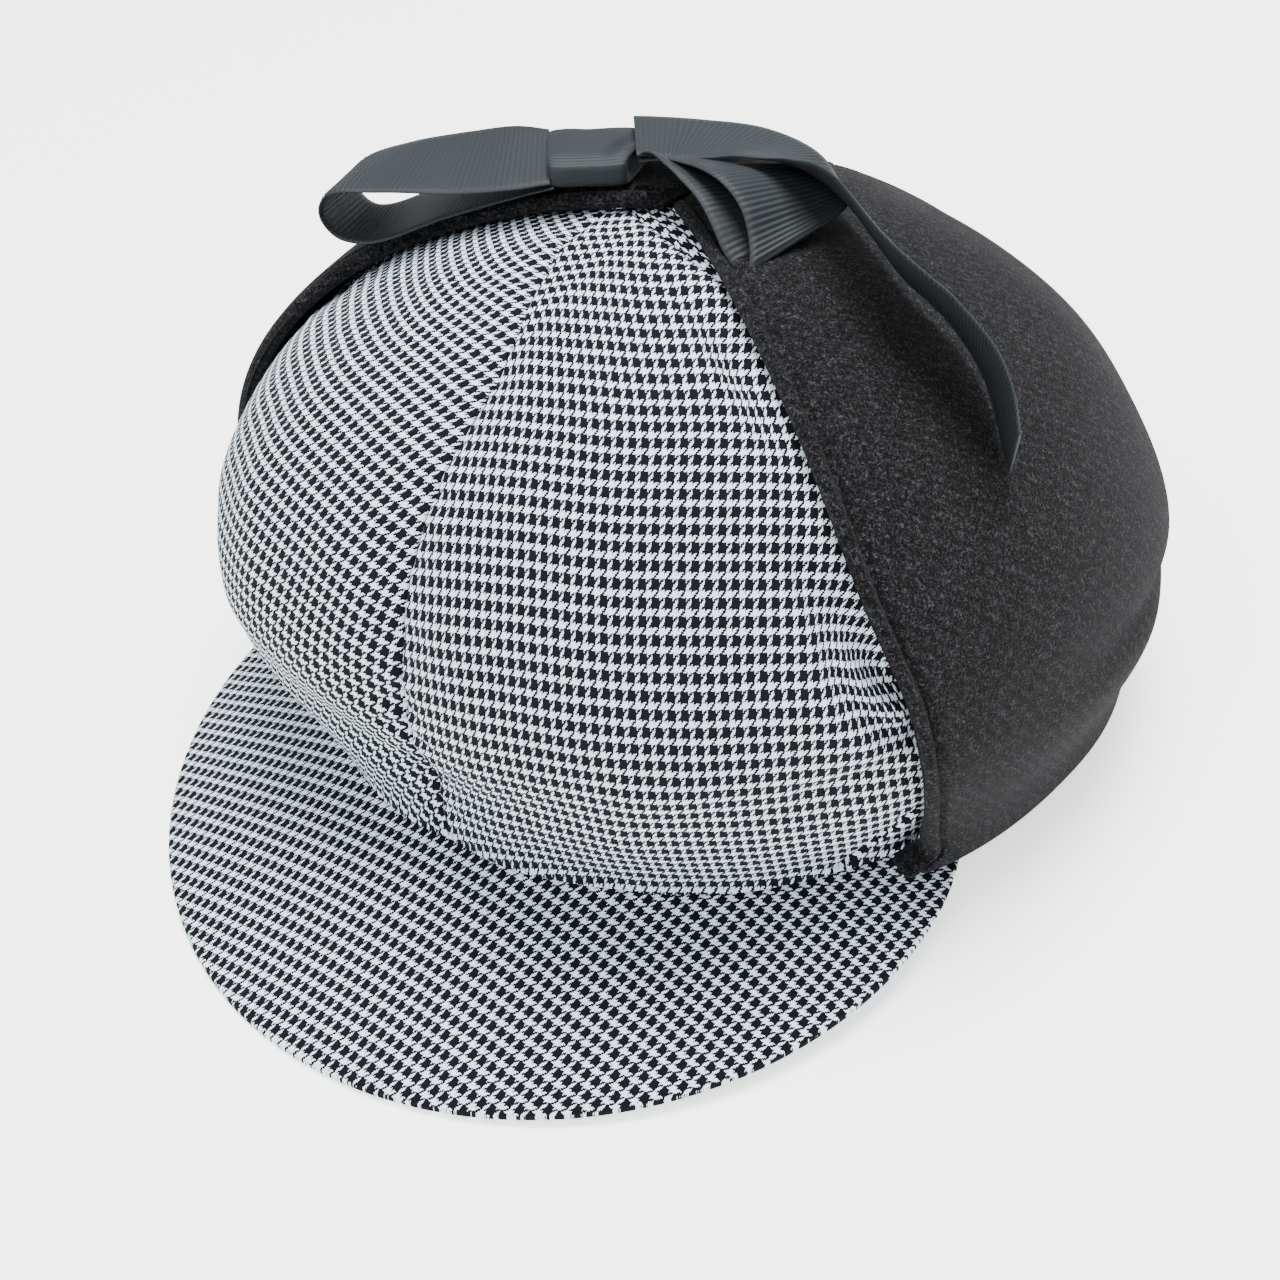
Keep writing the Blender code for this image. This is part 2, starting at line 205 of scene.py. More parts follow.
def makeHoundstooth():
    material, tree, shader = startMaterial("cottonHoundstoothTwill", Roughness=0.9, IOR=1.5)
    shader.inputs["Specular IOR Level"].default_value = 0.12
    threads = houndstooth["threads"]
    cloth = addNode(tree, "ShaderNodeUVMap", uv_map="cloth").outputs["UV"]
    scale = (threads / houndstooth["repeatAcross"], threads / houndstooth["repeatAlong"], 1)
    scaled = addNode(tree, "ShaderNodeMapping", {"Vector": cloth, "Scale": scale}).outputs["Vector"]
    # Soft yarn wanders about half a thread, so no tooth is quite like the next
    wander = addNode(
        tree, "ShaderNodeTexNoise", {"Vector": scaled, "Scale": 0.55, "Detail": 1.0}
    ).outputs["Color"]
    centred = addNode(
        tree, "ShaderNodeVectorMath", {0: wander, 1: (0.5, 0.5, 0.5)}, operation="SUBTRACT"
    ).outputs[0]
    offset = addNode(
        tree, "ShaderNodeVectorMath", {0: centred, "Scale": houndstooth["waver"] * 3}, operation="SCALE"
    ).outputs[0]
    place = addNode(tree, "ShaderNodeVectorMath", {0: scaled, 1: offset}, operation="ADD").outputs[0]
    split = addNode(tree, "ShaderNodeSeparateXYZ", {0: place})
    darkSpread = houndstooth["darkSpread"]
    index, dark, swell = [], [], []
    # Each way, first the threads across and then the ones along: which thread is it, is it a dark
    # one, and how high does its round back stand
    for side in (split.outputs[0], split.outputs[1]):
        whole = addNode(tree, "ShaderNodeMath", {0: side}, operation="FLOOR").outputs[0]
        spread = addNode(tree, "ShaderNodeMath", {0: side, 1: darkSpread}, operation="ADD").outputs[0]
        turn = addNode(tree, "ShaderNodeMath", {0: spread, 1: threads}, operation="FLOORED_MODULO").outputs[0]
        fine = addNode(tree, "ShaderNodeMath", {0: side}, operation="FRACT").outputs[0]
        off = addNode(tree, "ShaderNodeMath", {0: fine, 1: 0.5}, operation="SUBTRACT").outputs[0]
        square = addNode(tree, "ShaderNodeMath", {0: off, 1: off}, operation="MULTIPLY").outputs[0]
        most = threads / 2 + 2 * darkSpread
        isDark = addNode(tree, "ShaderNodeMath", {0: turn, 1: most}, operation="LESS_THAN").outputs[0]
        raised = addNode(
            tree, "ShaderNodeMath", {0: square, 1: -4.0, 2: 1.0}, operation="MULTIPLY_ADD"
        ).outputs[0]
        index.append(whole)
        dark.append(isDark)
        swell.append(raised)
    # A 2/2 twill: over two threads and under two, one thread further on in each row
    step = addNode(tree, "ShaderNodeMath", {0: index[0], 1: index[1]}, operation="SUBTRACT").outputs[0]
    phase = addNode(tree, "ShaderNodeMath", {0: step, 1: threads / 2}, operation="FLOORED_MODULO").outputs[0]
    over = addNode(tree, "ShaderNodeMath", {0: phase, 1: 1.5}, operation="LESS_THAN").outputs[0]
    tooth = addNode(tree, "ShaderNodeMix", {0: over, 2: dark[1], 3: dark[0]}, data_type="FLOAT").outputs[0]
    height = addNode(tree, "ShaderNodeMix", {0: over, 2: swell[1], 3: swell[0]}, data_type="FLOAT").outputs[0]
    white, black = hexColour(houndstooth["white"]), hexColour(houndstooth["black"])
    colour = addNode(tree, "ShaderNodeMix", {0: tooth, 6: white, 7: black}, data_type="RGBA").outputs[2]
    # Thread-to-thread tone, and a little painted shade in the valleys between threads
    mottle = addNode(tree, "ShaderNodeTexNoise", {"Vector": scaled, "Scale": 0.9, "Detail": 2.0}).outputs[0]
    shade = addNode(
        tree, "ShaderNodeMapRange",
        {"Value": mottle, "From Min": 0.3, "From Max": 0.7, "To Min": 0.9, "To Max": 1.04},
    ).outputs[0]
    # Painted shade: the colour is darkened where the threads' round backs fall away into the valleys
    lift = addNode(
        tree, "ShaderNodeMapRange",
        {"Value": height, "From Min": 0.0, "From Max": 0.7, "To Min": 0.86, "To Max": 1.0},
    ).outputs[0]
    toneAndValleyShade = addNode(tree, "ShaderNodeMath", {0: shade, 1: lift}, operation="MULTIPLY").outputs[0]
    final = addNode(tree, "ShaderNodeVectorMath", {0: colour, "Scale": toneAndValleyShade}, operation="SCALE").outputs[0]
    tree.links.new(final, shader.inputs["Base Color"])
    depth = houndstooth["threadDepth"] * mm
    bump = addNode(tree, "ShaderNodeBump", {"Height": height, "Strength": 0.7, "Distance": depth}).outputs[0]
    tree.links.new(bump, shader.inputs["Normal"])
    return material


# Wool twill, woven and brushed: short grey fibres over black, in faint diagonal lines. The eye
# sees a deep matt black with a fine grey grain and no shine.
wool = {
    "black": "#050506", "grey": "#151516", "fibre": "#3E3E40", "fibreSize": 0.5, "clumpSize": 2.0,
    "twillPitch": 1.6, "twillShare": 0.04, "clumpShare": 0.16, "loftDepth": 0.6,
}


def makeWool():
    material, tree, shader = startMaterial("blackWoolTwillBrushed", Roughness=0.95, IOR=1.45)
    shader.inputs["Specular IOR Level"].default_value = 0.1
    shader.inputs["Sheen Weight"].default_value = 0.03
    shader.inputs["Sheen Roughness"].default_value = 0.4
    room = addNode(tree, "ShaderNodeTexCoord").outputs["Object"]
    perFibre, perClump = 1 / (wool["fibreSize"] * mm), 1 / (wool["clumpSize"] * mm)
    fibres = addNode(
        tree, "ShaderNodeTexNoise",
        {"Vector": room, "Scale": perFibre, "Detail": 3.0, "Roughness": 0.65, "Distortion": 0.9},
    ).outputs[0]
    clumps = addNode(
        tree, "ShaderNodeTexNoise", {"Vector": room, "Scale": perClump, "Detail": 2.0}
    ).outputs[0]
    cloth = addNode(tree, "ShaderNodeUVMap", uv_map="cloth").outputs["UV"]
    twill = addNode(
        tree, "ShaderNodeTexWave",
        {
            "Vector": cloth, "Scale": math.pi / 10 / wool["twillPitch"], "Distortion": 2.5, "Detail": 2.0,
            "Detail Scale": 1.0,
        },
        wave_type="BANDS", bands_direction="DIAGONAL",
    ).outputs["Fac"]
    lines = addNode(
        tree, "ShaderNodeMath", {0: twill, 1: wool["twillShare"], 2: fibres}, operation="MULTIPLY_ADD"
    ).outputs[0]
    mixed = addNode(
        tree, "ShaderNodeMath", {0: clumps, 1: wool["clumpShare"], 2: lines}, operation="MULTIPLY_ADD"
    ).outputs[0]
    ramp = addNode(tree, "ShaderNodeValToRGB", {0: mixed})  # bare ground, then cloth, then loose fibre
    ramp.color_ramp.elements[0].position = 0.51
    ramp.color_ramp.elements[0].color = hexColour(wool["black"])
    ramp.color_ramp.elements[1].position = 0.79
    ramp.color_ramp.elements[1].color = hexColour(wool["fibre"])
    middle = ramp.color_ramp.elements.new(0.63)
    middle.color = hexColour(wool["grey"])
    tree.links.new(ramp.outputs[0], shader.inputs["Base Color"])
    bump = addNode(
        tree, "ShaderNodeBump", {"Height": mixed, "Strength": 0.9, "Distance": wool["loftDepth"] * mm}
    ).outputs[0]
    tree.links.new(bump, shader.inputs["Normal"])
    return material


# Grosgrain ribbon, woven of rayon with thick ribs across it. The eye sees a blue-black band with
# fine cross lines and a dull satin gleam on each rib.
# colour and deep are the ribbon's tone; where its ribs open they are pushed apart into a painted highlight on
# the crests and painted shade in the valleys
ribbon = {
    "width": 25, "wall": 0.55, "ribPitch": 1.1, "ribHeight": 0.2, "threadDepth": 0.1,
    "colour": "#121B20", "deep": "#070B0D",
    "knotWidth": 19, "knotDepth": 21, "knotHeight": 8, "knotSeat": 0.4, "tuckUnder": 1.5,
    "knotAt": (-17.5, -13.5), "knotHeading": 40, "knotSlant": 3.0, "foldDepth": 1.5, "foldWidth": 1.7,
    "rightLoopReach": 38.5, "leftLoopReach": 39.9, "loopTurn": 0.55, "tailStart": 0.8,
    "rightLoopHeadings": (207, 207), "leftLoopHeadings": (-8, -15),
    "leftTailLift": 0.33, "rightTailLift": 0.16, "selvedge": 1.0, "ribShut": 0.12, "ribOpenBend": 0.06,
    "tailOpenFrom": 0.45, "stepsPerRib": 6, "stepsPerRow": 12, "columns": 14,
    "knotColumns": 288, "knotRows": 64,
}


def makeGrosgrain():
    material, tree, shader = startMaterial("grosgrainRayonRibbon", Roughness=0.68, IOR=1.5)
    shader.inputs["Specular IOR Level"].default_value = 0.4
    cloth = addNode(tree, "ShaderNodeUVMap", uv_map="cloth").outputs["UV"]
    split = addNode(tree, "ShaderNodeSeparateXYZ", {0: cloth})
    perRib = math.tau / ribbon["ribPitch"]
    turn = addNode(tree, "ShaderNodeMath", {0: split.outputs[1], 1: perRib}, operation="MULTIPLY").outputs[0]
    wave = addNode(tree, "ShaderNodeMath", {0: turn}, operation="COSINE").outputs[0]
    # The fine warp runs along the ribbon and over its ribs, so the noise is longer that way
    drawnOut = addNode(tree, "ShaderNodeMapping", {"Vector": cloth, "Scale": (3.0, 1.2, 1)}).outputs[0]
    threads = addNode(
        tree, "ShaderNodeTexNoise", {"Vector": drawnOut, "Scale": 1.0, "Detail": 3.0}
    ).outputs[0]
    # Where the ribbon bends its ribs open, and there the colour is painted lighter on each rib's crest and
    # darker in its valley: a painted highlight and painted shade over the real ribs. The thread noise is the
    # yarn's own tone.
    opened = addNode(tree, "ShaderNodeAttribute", attribute_name="opened").outputs["Fac"]
    ribs = addNode(tree, "ShaderNodeMath", {0: wave, 1: opened}, operation="MULTIPLY").outputs[0]
    ribGleamAndThreadTone = addNode(
        tree, "ShaderNodeMath", {0: ribs, 1: 0.45, 2: threads}, operation="MULTIPLY_ADD"
    ).outputs[0]
    share = addNode(
        tree, "ShaderNodeMapRange", {"Value": ribGleamAndThreadTone, "From Min": 0.25, "From Max": 0.75}
    ).outputs[0]
    deep, lit = hexColour(ribbon["deep"]), hexColour(ribbon["colour"])
    colour = addNode(tree, "ShaderNodeMix", {0: share, 6: deep, 7: lit}, data_type="RGBA").outputs[2]
    tree.links.new(colour, shader.inputs["Base Color"])
    finer = addNode(tree, "ShaderNodeMapping", {"Vector": cloth, "Scale": (4.0, 1.5, 1)}).outputs[0]
    fine = addNode(tree, "ShaderNodeTexNoise", {"Vector": finer, "Scale": 1.0, "Detail": 2.0}).outputs[0]
    bump = addNode(
        tree, "ShaderNodeBump", {"Height": fine, "Strength": 0.4, "Distance": ribbon["threadDepth"] * mm}
    ).outputs[0]
    tree.links.new(bump, shader.inputs["Normal"])
    return material


houndstoothCotton = makeHoundstooth()
blackWool = makeWool()
grosgrain = makeGrosgrain()
print("stage: materials made")


# Turns a bmesh built in the hat's frame into a finished piece that stands for a CAD node
def finishPiece(name, mesh, material, node):
    bmesh.ops.transform(mesh, matrix=rest, verts=mesh.verts)
    for vert in mesh.verts:
        vert.co.z = max(vert.co.z, 0.0)
    bmesh.ops.recalc_face_normals(mesh, faces=mesh.faces)
    data = bpy.data.meshes.new(name)
    mesh.to_mesh(data)
    mesh.free()
    data.materials.append(material)
    data.shade_smooth()
    piece = bpy.data.objects.new(name, data)
    bpy.context.scene.collection.objects.link(piece)
    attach(piece, "root")
    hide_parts(node)
    return piece


# A grid of cells with a UV map called cloth, in millimetres. place(u, v) gives a point and
# its place on the flat cloth; a closed wall also has an inner side.
def clothGrid(columns, rows, place, inner=None):
    mesh = bmesh.new()
    bmesh.ops.create_grid(mesh, x_segments=columns, y_segments=rows, size=0.5)
    outer = set(mesh.verts)
    if inner:
        made = bmesh.ops.extrude_face_region(mesh, geom=mesh.faces[:])["geom"]
        outer -= {item for item in made if isinstance(item, bmesh.types.BMVert)}
    onCloth = {}
    for vert in mesh.verts:
        u, v = vert.co.x + 0.5, vert.co.y + 0.5
        vert.co, onCloth[vert] = (place if vert in outer else inner)(u, v)
    layer = mesh.loops.layers.uv.new("cloth")
    for face in mesh.faces:
        for loop in face.loops:
            loop[layer].uv = onCloth[loop.vert]
    return mesh


# Crowds a grid's lines towards both ends, where seams and edges need them
def crowded(share, strength):
    return share - strength * math.sin(math.tau * share) / math.tau


def smooth(value, low, high):
    share = min(max((value - low) / (high - low), 0.0), 1.0)
    return share * share * (3 - 2 * share)


def bell(value, middle, width):
    return math.exp(-(((value - middle) / width) ** 2))


# The crown: six gores, sewn with their allowances turned in. Each seam sinks into a valley whose
# two sides roll over, and the cloth beside it puckers, less so on top where it is ironed flat.
crown = {
    "columns": 130, "rows": 160, "crowding": 0.75, "wall": 1.5, "seamGap": 0.15,
    "rollWidth": 2.2, "rollDepth": 1.5, "pucker": 0.9, "waver": 0.9, "ripple": 0.45,
    "ironedTop": 0.6, "ironedFrom": 1.0, "ironedTo": 1.55, "tipRadius": 14,
    "creaseDepth": 1.9, "mmPerDegree": 1.65, "mmPerRise": 52, "sag": 0.67, "rimStretch": 0.18,
    "gatherSlant": 22, "topDrift": 0.036, "driftFrom": 1.57, "driftTo": 1.95,
    "flat": (0.13, 0.15),
}
# Each part's seams, and the share of the full grid that it needs
gores = [
    ("front", 0, hat["sideSeam"], 1), ("side", hat["sideSeam"], hat["backSeam"], 0.5),
    ("back", hat["backSeam"], 180, 0.75),
]


# A gore's cloth is cut flat with its grain up the middle, so its rows sag towards the seams
def flatMap(seam, nextSeam):
    centre = (seam + nextSeam) / 2
    before, length, arcs = rimPoint(centre), 0.0, []
    rises = np.linspace(0, hat["tip"], 400)
    for rise in rises:
        point = crownPoint(centre, rise)
        length += (point - before).length
        before = point
        arcs.append(length)
    bulgeArc = float(np.interp(1, rises, arcs))

    def onFlat(angle, rise):
        point = crownPoint(angle, rise)
        radius = max(math.hypot(point.x, point.y + hat["lean"] * point.z / hat["crownHeight"]), 0.1)
        across = math.radians(angle - centre) * radius
        along = float(np.interp(rise, rises, arcs)) + crown["sag"] * across**2 / (2 * radius)
        along += crown["rimStretch"] * bulgeArc * max(0.0, 1 - rise) ** 2
        for extra, low, high, middle, reach in gathers:
            if seam == 0:
                shift = crown["gatherSlant"] * max(0.0, middle - rise)
                across += extra * smooth(angle, low + shift, high + shift) * bell(rise, middle, reach)
        return across, along

    return onFlat


# Cloth gathered under the left flap's front edge: extra cloth in mm, the angles between which it
# is taken up, the rise where most is taken up, and how far from there it tells
gathers = [
    (12.0, 53.4, 61.0, 1.20, 0.11),
    (4.0, 49.5, 55.5, 1.66, 0.09),
]


# The soft crease above the rim band, deepest at the centre seam and at the flap's edge
def creaseDip(angle, rise):
    middle = 0.66 + 0.33 * min(abs(angle) / 30, 1)
    strength = 0.45 + 0.55 * bell(abs(angle), 0, 14) + 0.3 * bell(abs(angle), 60, 10)
    valley, ridge = bell(rise, middle - 0.12, 0.13), bell(rise, middle + 0.17, 0.16)
    return crown["creaseDepth"] * strength * (valley - 0.6 * ridge)


# Creases where the left flap pulls the front cloth in: depth and width in mm, then angle and rise
# of the points that each one passes. A crease less than nothing deep is a ridge.
creases = [
    (3.2, 2.6, [(54.0, 1.36), (54.9, 1.26), (56.2, 1.16), (59.5, 1.08), (64.0, 1.04)]),
    (3.8, 2.8, [(56.9, 1.30), (58.2, 1.23), (60.4, 1.17), (64.0, 1.14)]),
    (-1.8, 1.9, [(56.4, 1.21), (59.0, 1.13), (62.0, 1.09)]),
    (0.9, 2.2, [(46.0, 1.24), (51.5, 1.22), (54.5, 1.20)]),
    (1.0, 2.4, [(50.0, 0.94), (57.0, 0.96), (63.5, 1.00)]),
    (2.0, 2.0, [(55.5, 0.05), (58.4, 0.26), (63.5, 0.50)]),
    (0.6, 1.3, [(50.5, 1.80), (55.0, 1.78)]),
    (0.9, 1.5, [(52.5, 1.68), (57.5, 1.66)]),
    (0.7, 1.3, [(53.0, 1.60), (58.0, 1.59)]),
    (0.6, 1.3, [(54.0, 1.50), (58.5, 1.49)]),
]


def pulledIn(angle, rise):
    here = Vector((angle * crown["mmPerDegree"], rise * crown["mmPerRise"]))
    dip = 0.0
    for depth, width, spots in creases:
        line = [Vector((each[0] * crown["mmPerDegree"], each[1] * crown["mmPerRise"])) for each in spots]
        away = 1e9
        for before, after in zip(line, line[1:]):
            run = after - before
            share = min(max((here - before).dot(run) / run.dot(run), 0), 1)
            away = min(away, (here - before - run * share).length)
        dip += depth * bell(away, 0, width)
    return dip


# The area of a cut, in square metres, from its outline on the flat cloth in millimetres.
def cutArea(outline):
    around = zip(outline, outline[1:] + outline[:1])
    return abs(sum(here[0] * after[1] - after[0] * here[1] for here, after in around)) / 2 * mm**2


def addGore(name, seam, nextSeam, columns, rows):
    onFlat = flatMap(seam, nextSeam)
    front = name.startswith("crown_front")
    left = name.endswith("left")

    def spread(u, v):
        rise = hat["tip"] * v
        edge = crownPoint(seam, rise)
        radius = math.hypot(edge.x, edge.y + hat["lean"] * edge.z / hat["crownHeight"])
        gap = math.degrees(crown["seamGap"] / max(radius, 0.5))
        angle = seam + gap + (nextSeam - seam - 2 * gap) * crowded(u, crown["crowding"])
        # The gores meet a little to the right of the middle on top, where the flaps pull them
        drift = Vector((-crown["topDrift"] * smooth(rise, crown["driftFrom"], crown["driftTo"]), 0))
        spot = discOf(angle, rise) + drift
        base = discPoint(spot)
        fromSeam = min(abs(abs(angle) - each) for each in seamAngles)
        distance = math.radians(fromSeam) * radius
        ironed = 1 - crown["ironedTop"] * smooth(rise, crown["ironedFrom"], crown["ironedTo"])
        dip = hat["seamValley"] * bell(fromSeam, 0, hat["seamValleyAngle"]) * ironed
        inRoll = max(0.0, 1 - distance / crown["rollWidth"])
        dip += crown["rollDepth"] * (1 - math.sqrt(1 - inRoll**2)) * ironed
        near = base * 0.06
        dip += crown["pucker"] * noise.noise(Vector((near.x, near.y, near.z * 5.2))) * bell(distance, 3, 7)
        dip += crown["waver"] * noise.noise(base * 0.035 + Vector((3.1, 0, 0)))
        dip += crown["ripple"] * noise.noise(base * 0.09 + Vector((0, 7.7, 0)))
        if front:
            dip += creaseDip(angle, rise)
        if front and left:
            dip += pulledIn(angle, rise)
        dip *= min(1.0, radius / crown["tipRadius"])
        return spot, dip, onFlat(angle, rise)

    kept = {}

    def layer(depth):
        def place(u, v):
            key = (round(u, 5), round(v, 5))
            if key not in kept:
                kept[key] = spread(u, v)
            spot, dip, flat = kept[key]
            return discPoint(spot, -dip - depth), (flat[0], flat[1] - depth)

        return place

    mesh = clothGrid(columns, rows, layer(0), layer(crown["wall"]))
    climb, rim = np.linspace(0, hat["tip"], 60), np.linspace(nextSeam, seam, 60)
    outline = [onFlat(seam, rise) for rise in climb] + [onFlat(nextSeam, rise) for rise in climb[::-1]]
    outline += [onFlat(angle, 0) for angle in rim]
    piece = finishPiece(name + "_cloth", mesh, houndstoothCotton, name)
    return piece, cutArea(outline)


for part, seam, nextSeam, share in gores:
    columns, rows = int(crown["columns"] * share), int(crown["rows"] * share)
    for sideName, low, high in (("left", seam, nextSeam), ("right", -nextSeam, -seam)):
        gore, cloth = addGore(f"crown_{part}_{sideName}", low, high, columns, rows)
print("stage: crown gores sewn")


# The peak: two layers of cloth over a stiffener, turned at the edge
peak = {
    "columns": 200, "rows": 60, "crowding": 0.6, "rowCrowding": 0.175, "edge": 1.3, "waver": 0.35,
    "flat": (0.19, 0.13), "cloth": 0.0125,
}


def addPeak():
    slope = math.cos(math.radians(hat["peakDroop"]))

    def side(sign):
        def place(u, v):
            share = 2 * crowded(u, peak["crowding"]) - 1
            reach = min(v + peak["rowCrowding"] * math.sin(math.pi * v) * v, 1.0)
            length = max((peakPoint(share, 1) - peakPoint(share, 0)).length, 0.1)
            toEdge = (1 - reach) * length
            inRoll = max(0.0, 1 - toEdge / peak["edge"])
            full = math.sqrt(max(0.0, 1 - inRoll**2))
            half = hat["peakWall"] / 2
            wave = peak["waver"] * noise.noise(Vector((share * 2.3, reach * 1.2, 7.7))) * reach
            point = peakPoint(share, reach, half - sign * half * full + wave)
            return point, (point.x, point.y / slope)

        return place

    mesh = clothGrid(peak["columns"], peak["rows"], side(1), side(-1))
    return finishPiece("peak_cloth", mesh, houndstoothCotton, "peak")


peakPiece = addPeak()
print("stage: peak made")


# The ear flaps: thick wool, turned and stitched at the edges, folded up over the crown
flap = {
    "front": 61.5, "cornerSwing": 5, "cornerPower": 6, "wedge": 5.0, "wedgeHeight": 0.05, "back": 143,
    "start": 0.03, "topFront": -0.16, "topBack": 0.52, "meetingGap": 2.4,
    "wall": 3.6, "gap": 0.9, "fold": 3.5, "foldHeight": 11,
    "columns": 130, "rows": 150, "crowding": 0.9, "rowCrowding": 0.6, "edge": 1.7,
    "grooveAt": 3.0, "grooveDepth": 1.3, "grooveWidth": 0.6,
    "waver": 1.3, "dent": 3.4, "dentAngle": 100, "dentHalfWidth": 17, "dentHalfHeight": 0.11,
    "flat": (0.15, 0.16),
}
# The left flap's front edge as the tied ribbon draws it: share of the way up, degrees backwards
drawn = [
    (0.0, 0.8), (0.2, 1.8), (0.38, 1.2), (0.55, 0.0), (0.66, -2.6), (0.78, -3.4), (0.9, -3.6), (1.0, -2.0),
]


def addFlap(name, side):
    topEdge = side * flap["meetingGap"] / 2
    frontTop = discUnder(topEdge, flap["topFront"] * hat["rimHalfLength"])
    backTop = discUnder(topEdge, flap["topBack"] * hat["rimHalfLength"])

    def spotAt(u, v):
        front = flap["front"] + flap["cornerSwing"] * (1 - v) ** flap["cornerPower"]
        front -= flap["wedge"] * bell(v, 0, flap["wedgeHeight"])
        low = discOf(side * (front + (flap["back"] - front) * u), flap["start"])
        spot = low.lerp(frontTop.lerp(backTop, u), v)
        if side < 0:
            return spot
        return Matrix.Rotation(math.radians(shareAt(drawn, v) * (1 - u) ** 3), 2) @ spot

    # The flap's width at 51 heights, and the way up its middle in 100 steps
    edges = [[discPoint(spotAt(u, step / 50)) for step in range(51)] for u in (0, 1)]
    widths = [(fore - aft).length for fore, aft in zip(*edges)]
    middle = [discPoint(spotAt(0.5, step / 100)) for step in range(101)]
    lengths = [0.0]
    for before, after in zip(middle, middle[1:]):
        lengths.append(lengths[-1] + (after - before).length)

    def layer(outside):
        def place(column, row):
            u, v = crowded(column, flap["crowding"]), crowded(row, flap["rowCrowding"])
            width = widths[round(v * 50)] * 1.1  # the arc is a tenth longer than its chord
            along = float(np.interp(v * 100, range(101), lengths))
            spot = spotAt(u, v)
            toSide = min(u * width, (1 - u) * width)
            toEdge = min(toSide, (1 - v) * lengths[-1])
            inRoll = max(0.0, 1 - toEdge / flap["edge"])
            full = math.sqrt(max(0.0, 1 - inRoll**2))
            base = discPoint(spot, flap["gap"])
            half = flap["wall"] / 2
            out = flap["gap"] + half + (half * full if outside else -half * full)
            if outside:
                out += flap["fold"] * bell(base.z, 0, flap["foldHeight"])
                out -= flap["grooveDepth"] * bell(toSide, flap["grooveAt"], flap["grooveWidth"])
                soft = noise.noise(base * 0.028 + Vector((0, 0, side * 5.0)))
                out += flap["waver"] * soft * min(1, toEdge / 10)
                # A soft dent slants over the flap's side at the bulge, where the hand folded it
                angle = math.degrees(math.atan2(spot.x, -spot.y)) * side
                slant = 0.98 - (angle - 96) * 0.004
                inDent = bell(2 - 2 * spot.length, slant, flap["dentHalfHeight"])
                out -= flap["dent"] * inDent * bell(angle, flap["dentAngle"], flap["dentHalfWidth"])
            here = discPoint(spot, out)
            return here, (side * (u - 0.5) * width, along)

        return place

    mesh = clothGrid(flap["columns"], flap["rows"], layer(True), layer(False))
    oneSide = [(0.55 * width, length) for width, length in zip(widths, lengths[::2])]
    outline = oneSide + [(-across, length) for across, length in reversed(oneSide)]
    return finishPiece(name + "_wool", mesh, blackWool, name), cutArea(outline)


for name, side in (("ear_flap_left", 1), ("ear_flap_right", -1)):
    piece, cloth = addFlap(name, side)
print("stage: ear flaps folded up")


# The bow, tied of one grosgrain ribbon. A loop's rows give its middle line: the share of its
# reach, how far sideways and how high over the flaps as shares too, its width, and its roll.
rightLoop = [
    (0.00, 0.00, 0.23, 0.84, -8), (0.18, 0.00, 0.26, 0.96, -9), (0.42, 0.00, 0.31, 1.00, -7),
    (0.70, 0.00, 0.44, 1.00, -1), (0.90, 0.00, 0.53, 1.00, 6), (1.01, 0.00, 0.38, 1.00, 9),
    (1.00, 0.00, 0.14, 1.00, 7), (0.82, 0.00, 0.03, 1.00, 2), (0.40, 0.00, 0.06, 0.92, 0),
    (0.00, 0.00, 0.12, 0.78, 0),
]
leftLoop = [
    (0.00, 0.00, 0.20, 0.80, 10), (0.20, 0.07, 0.24, 0.90, 15), (0.45, 0.12, 0.29, 1.00, 14),
    (0.70, 0.10, 0.37, 1.00, 10), (0.85, 0.10, 0.30, 1.00, 5), (0.95, 0.07, 0.19, 1.00, -4),
    (1.02, 0.00, 0.11, 1.00, -13), (0.99, -0.02, 0.05, 1.00, -14), (0.90, -0.02, 0.08, 1.00, -7),
    (0.80, 0.00, 0.15, 1.00, 2), (0.68, 0.02, 0.22, 1.00, 9), (0.50, 0.04, 0.25, 0.98, 14),
    (0.30, 0.03, 0.24, 0.94, 20), (0.12, 0.01, 0.22, 0.85, 24), (0.00, 0.00, 0.19, 0.80, 20),
]
# A tail's rows give the place as shares of the rim's half width and half length, then the height,
# the width and the twist
leftTail = [
    (-0.03, -0.035, 0.32, 0.86, -2), (0.08, -0.005, 0.36, 0.88, -5), (0.19, -0.01, 0.40, 0.84, -14),
    (0.275, -0.028, 0.39, 0.80, -32), (0.37, -0.064, 0.41, 0.84, -47), (0.53, -0.145, 0.46, 1.00, -51),
    (0.67, -0.16, 0.47, 1.00, -54), (0.76, -0.18, 0.46, 1.00, -57), (0.83, -0.22, 0.45, 1.00, -60),
    (0.885, -0.265, 0.44, 1.00, -58),
]
rightTail = [
    (-0.35, 0.10, 0.10, 0.95, 0), (-0.43, 0.26, 0.09, 1.00, 0), (-0.53, 0.40, 0.08, 1.00, 0),
    (-0.63, 0.49, 0.08, 1.00, 0),
]
knotAt = Vector((*ribbon["knotAt"], 0))


def headingLine(heading):
    turn = math.radians(heading)
    return Vector((math.cos(turn), math.sin(turn), 0))


def flapTop(spot, lift):
    return discPoint(spot, flap["gap"] + flap["wall"] + lift)


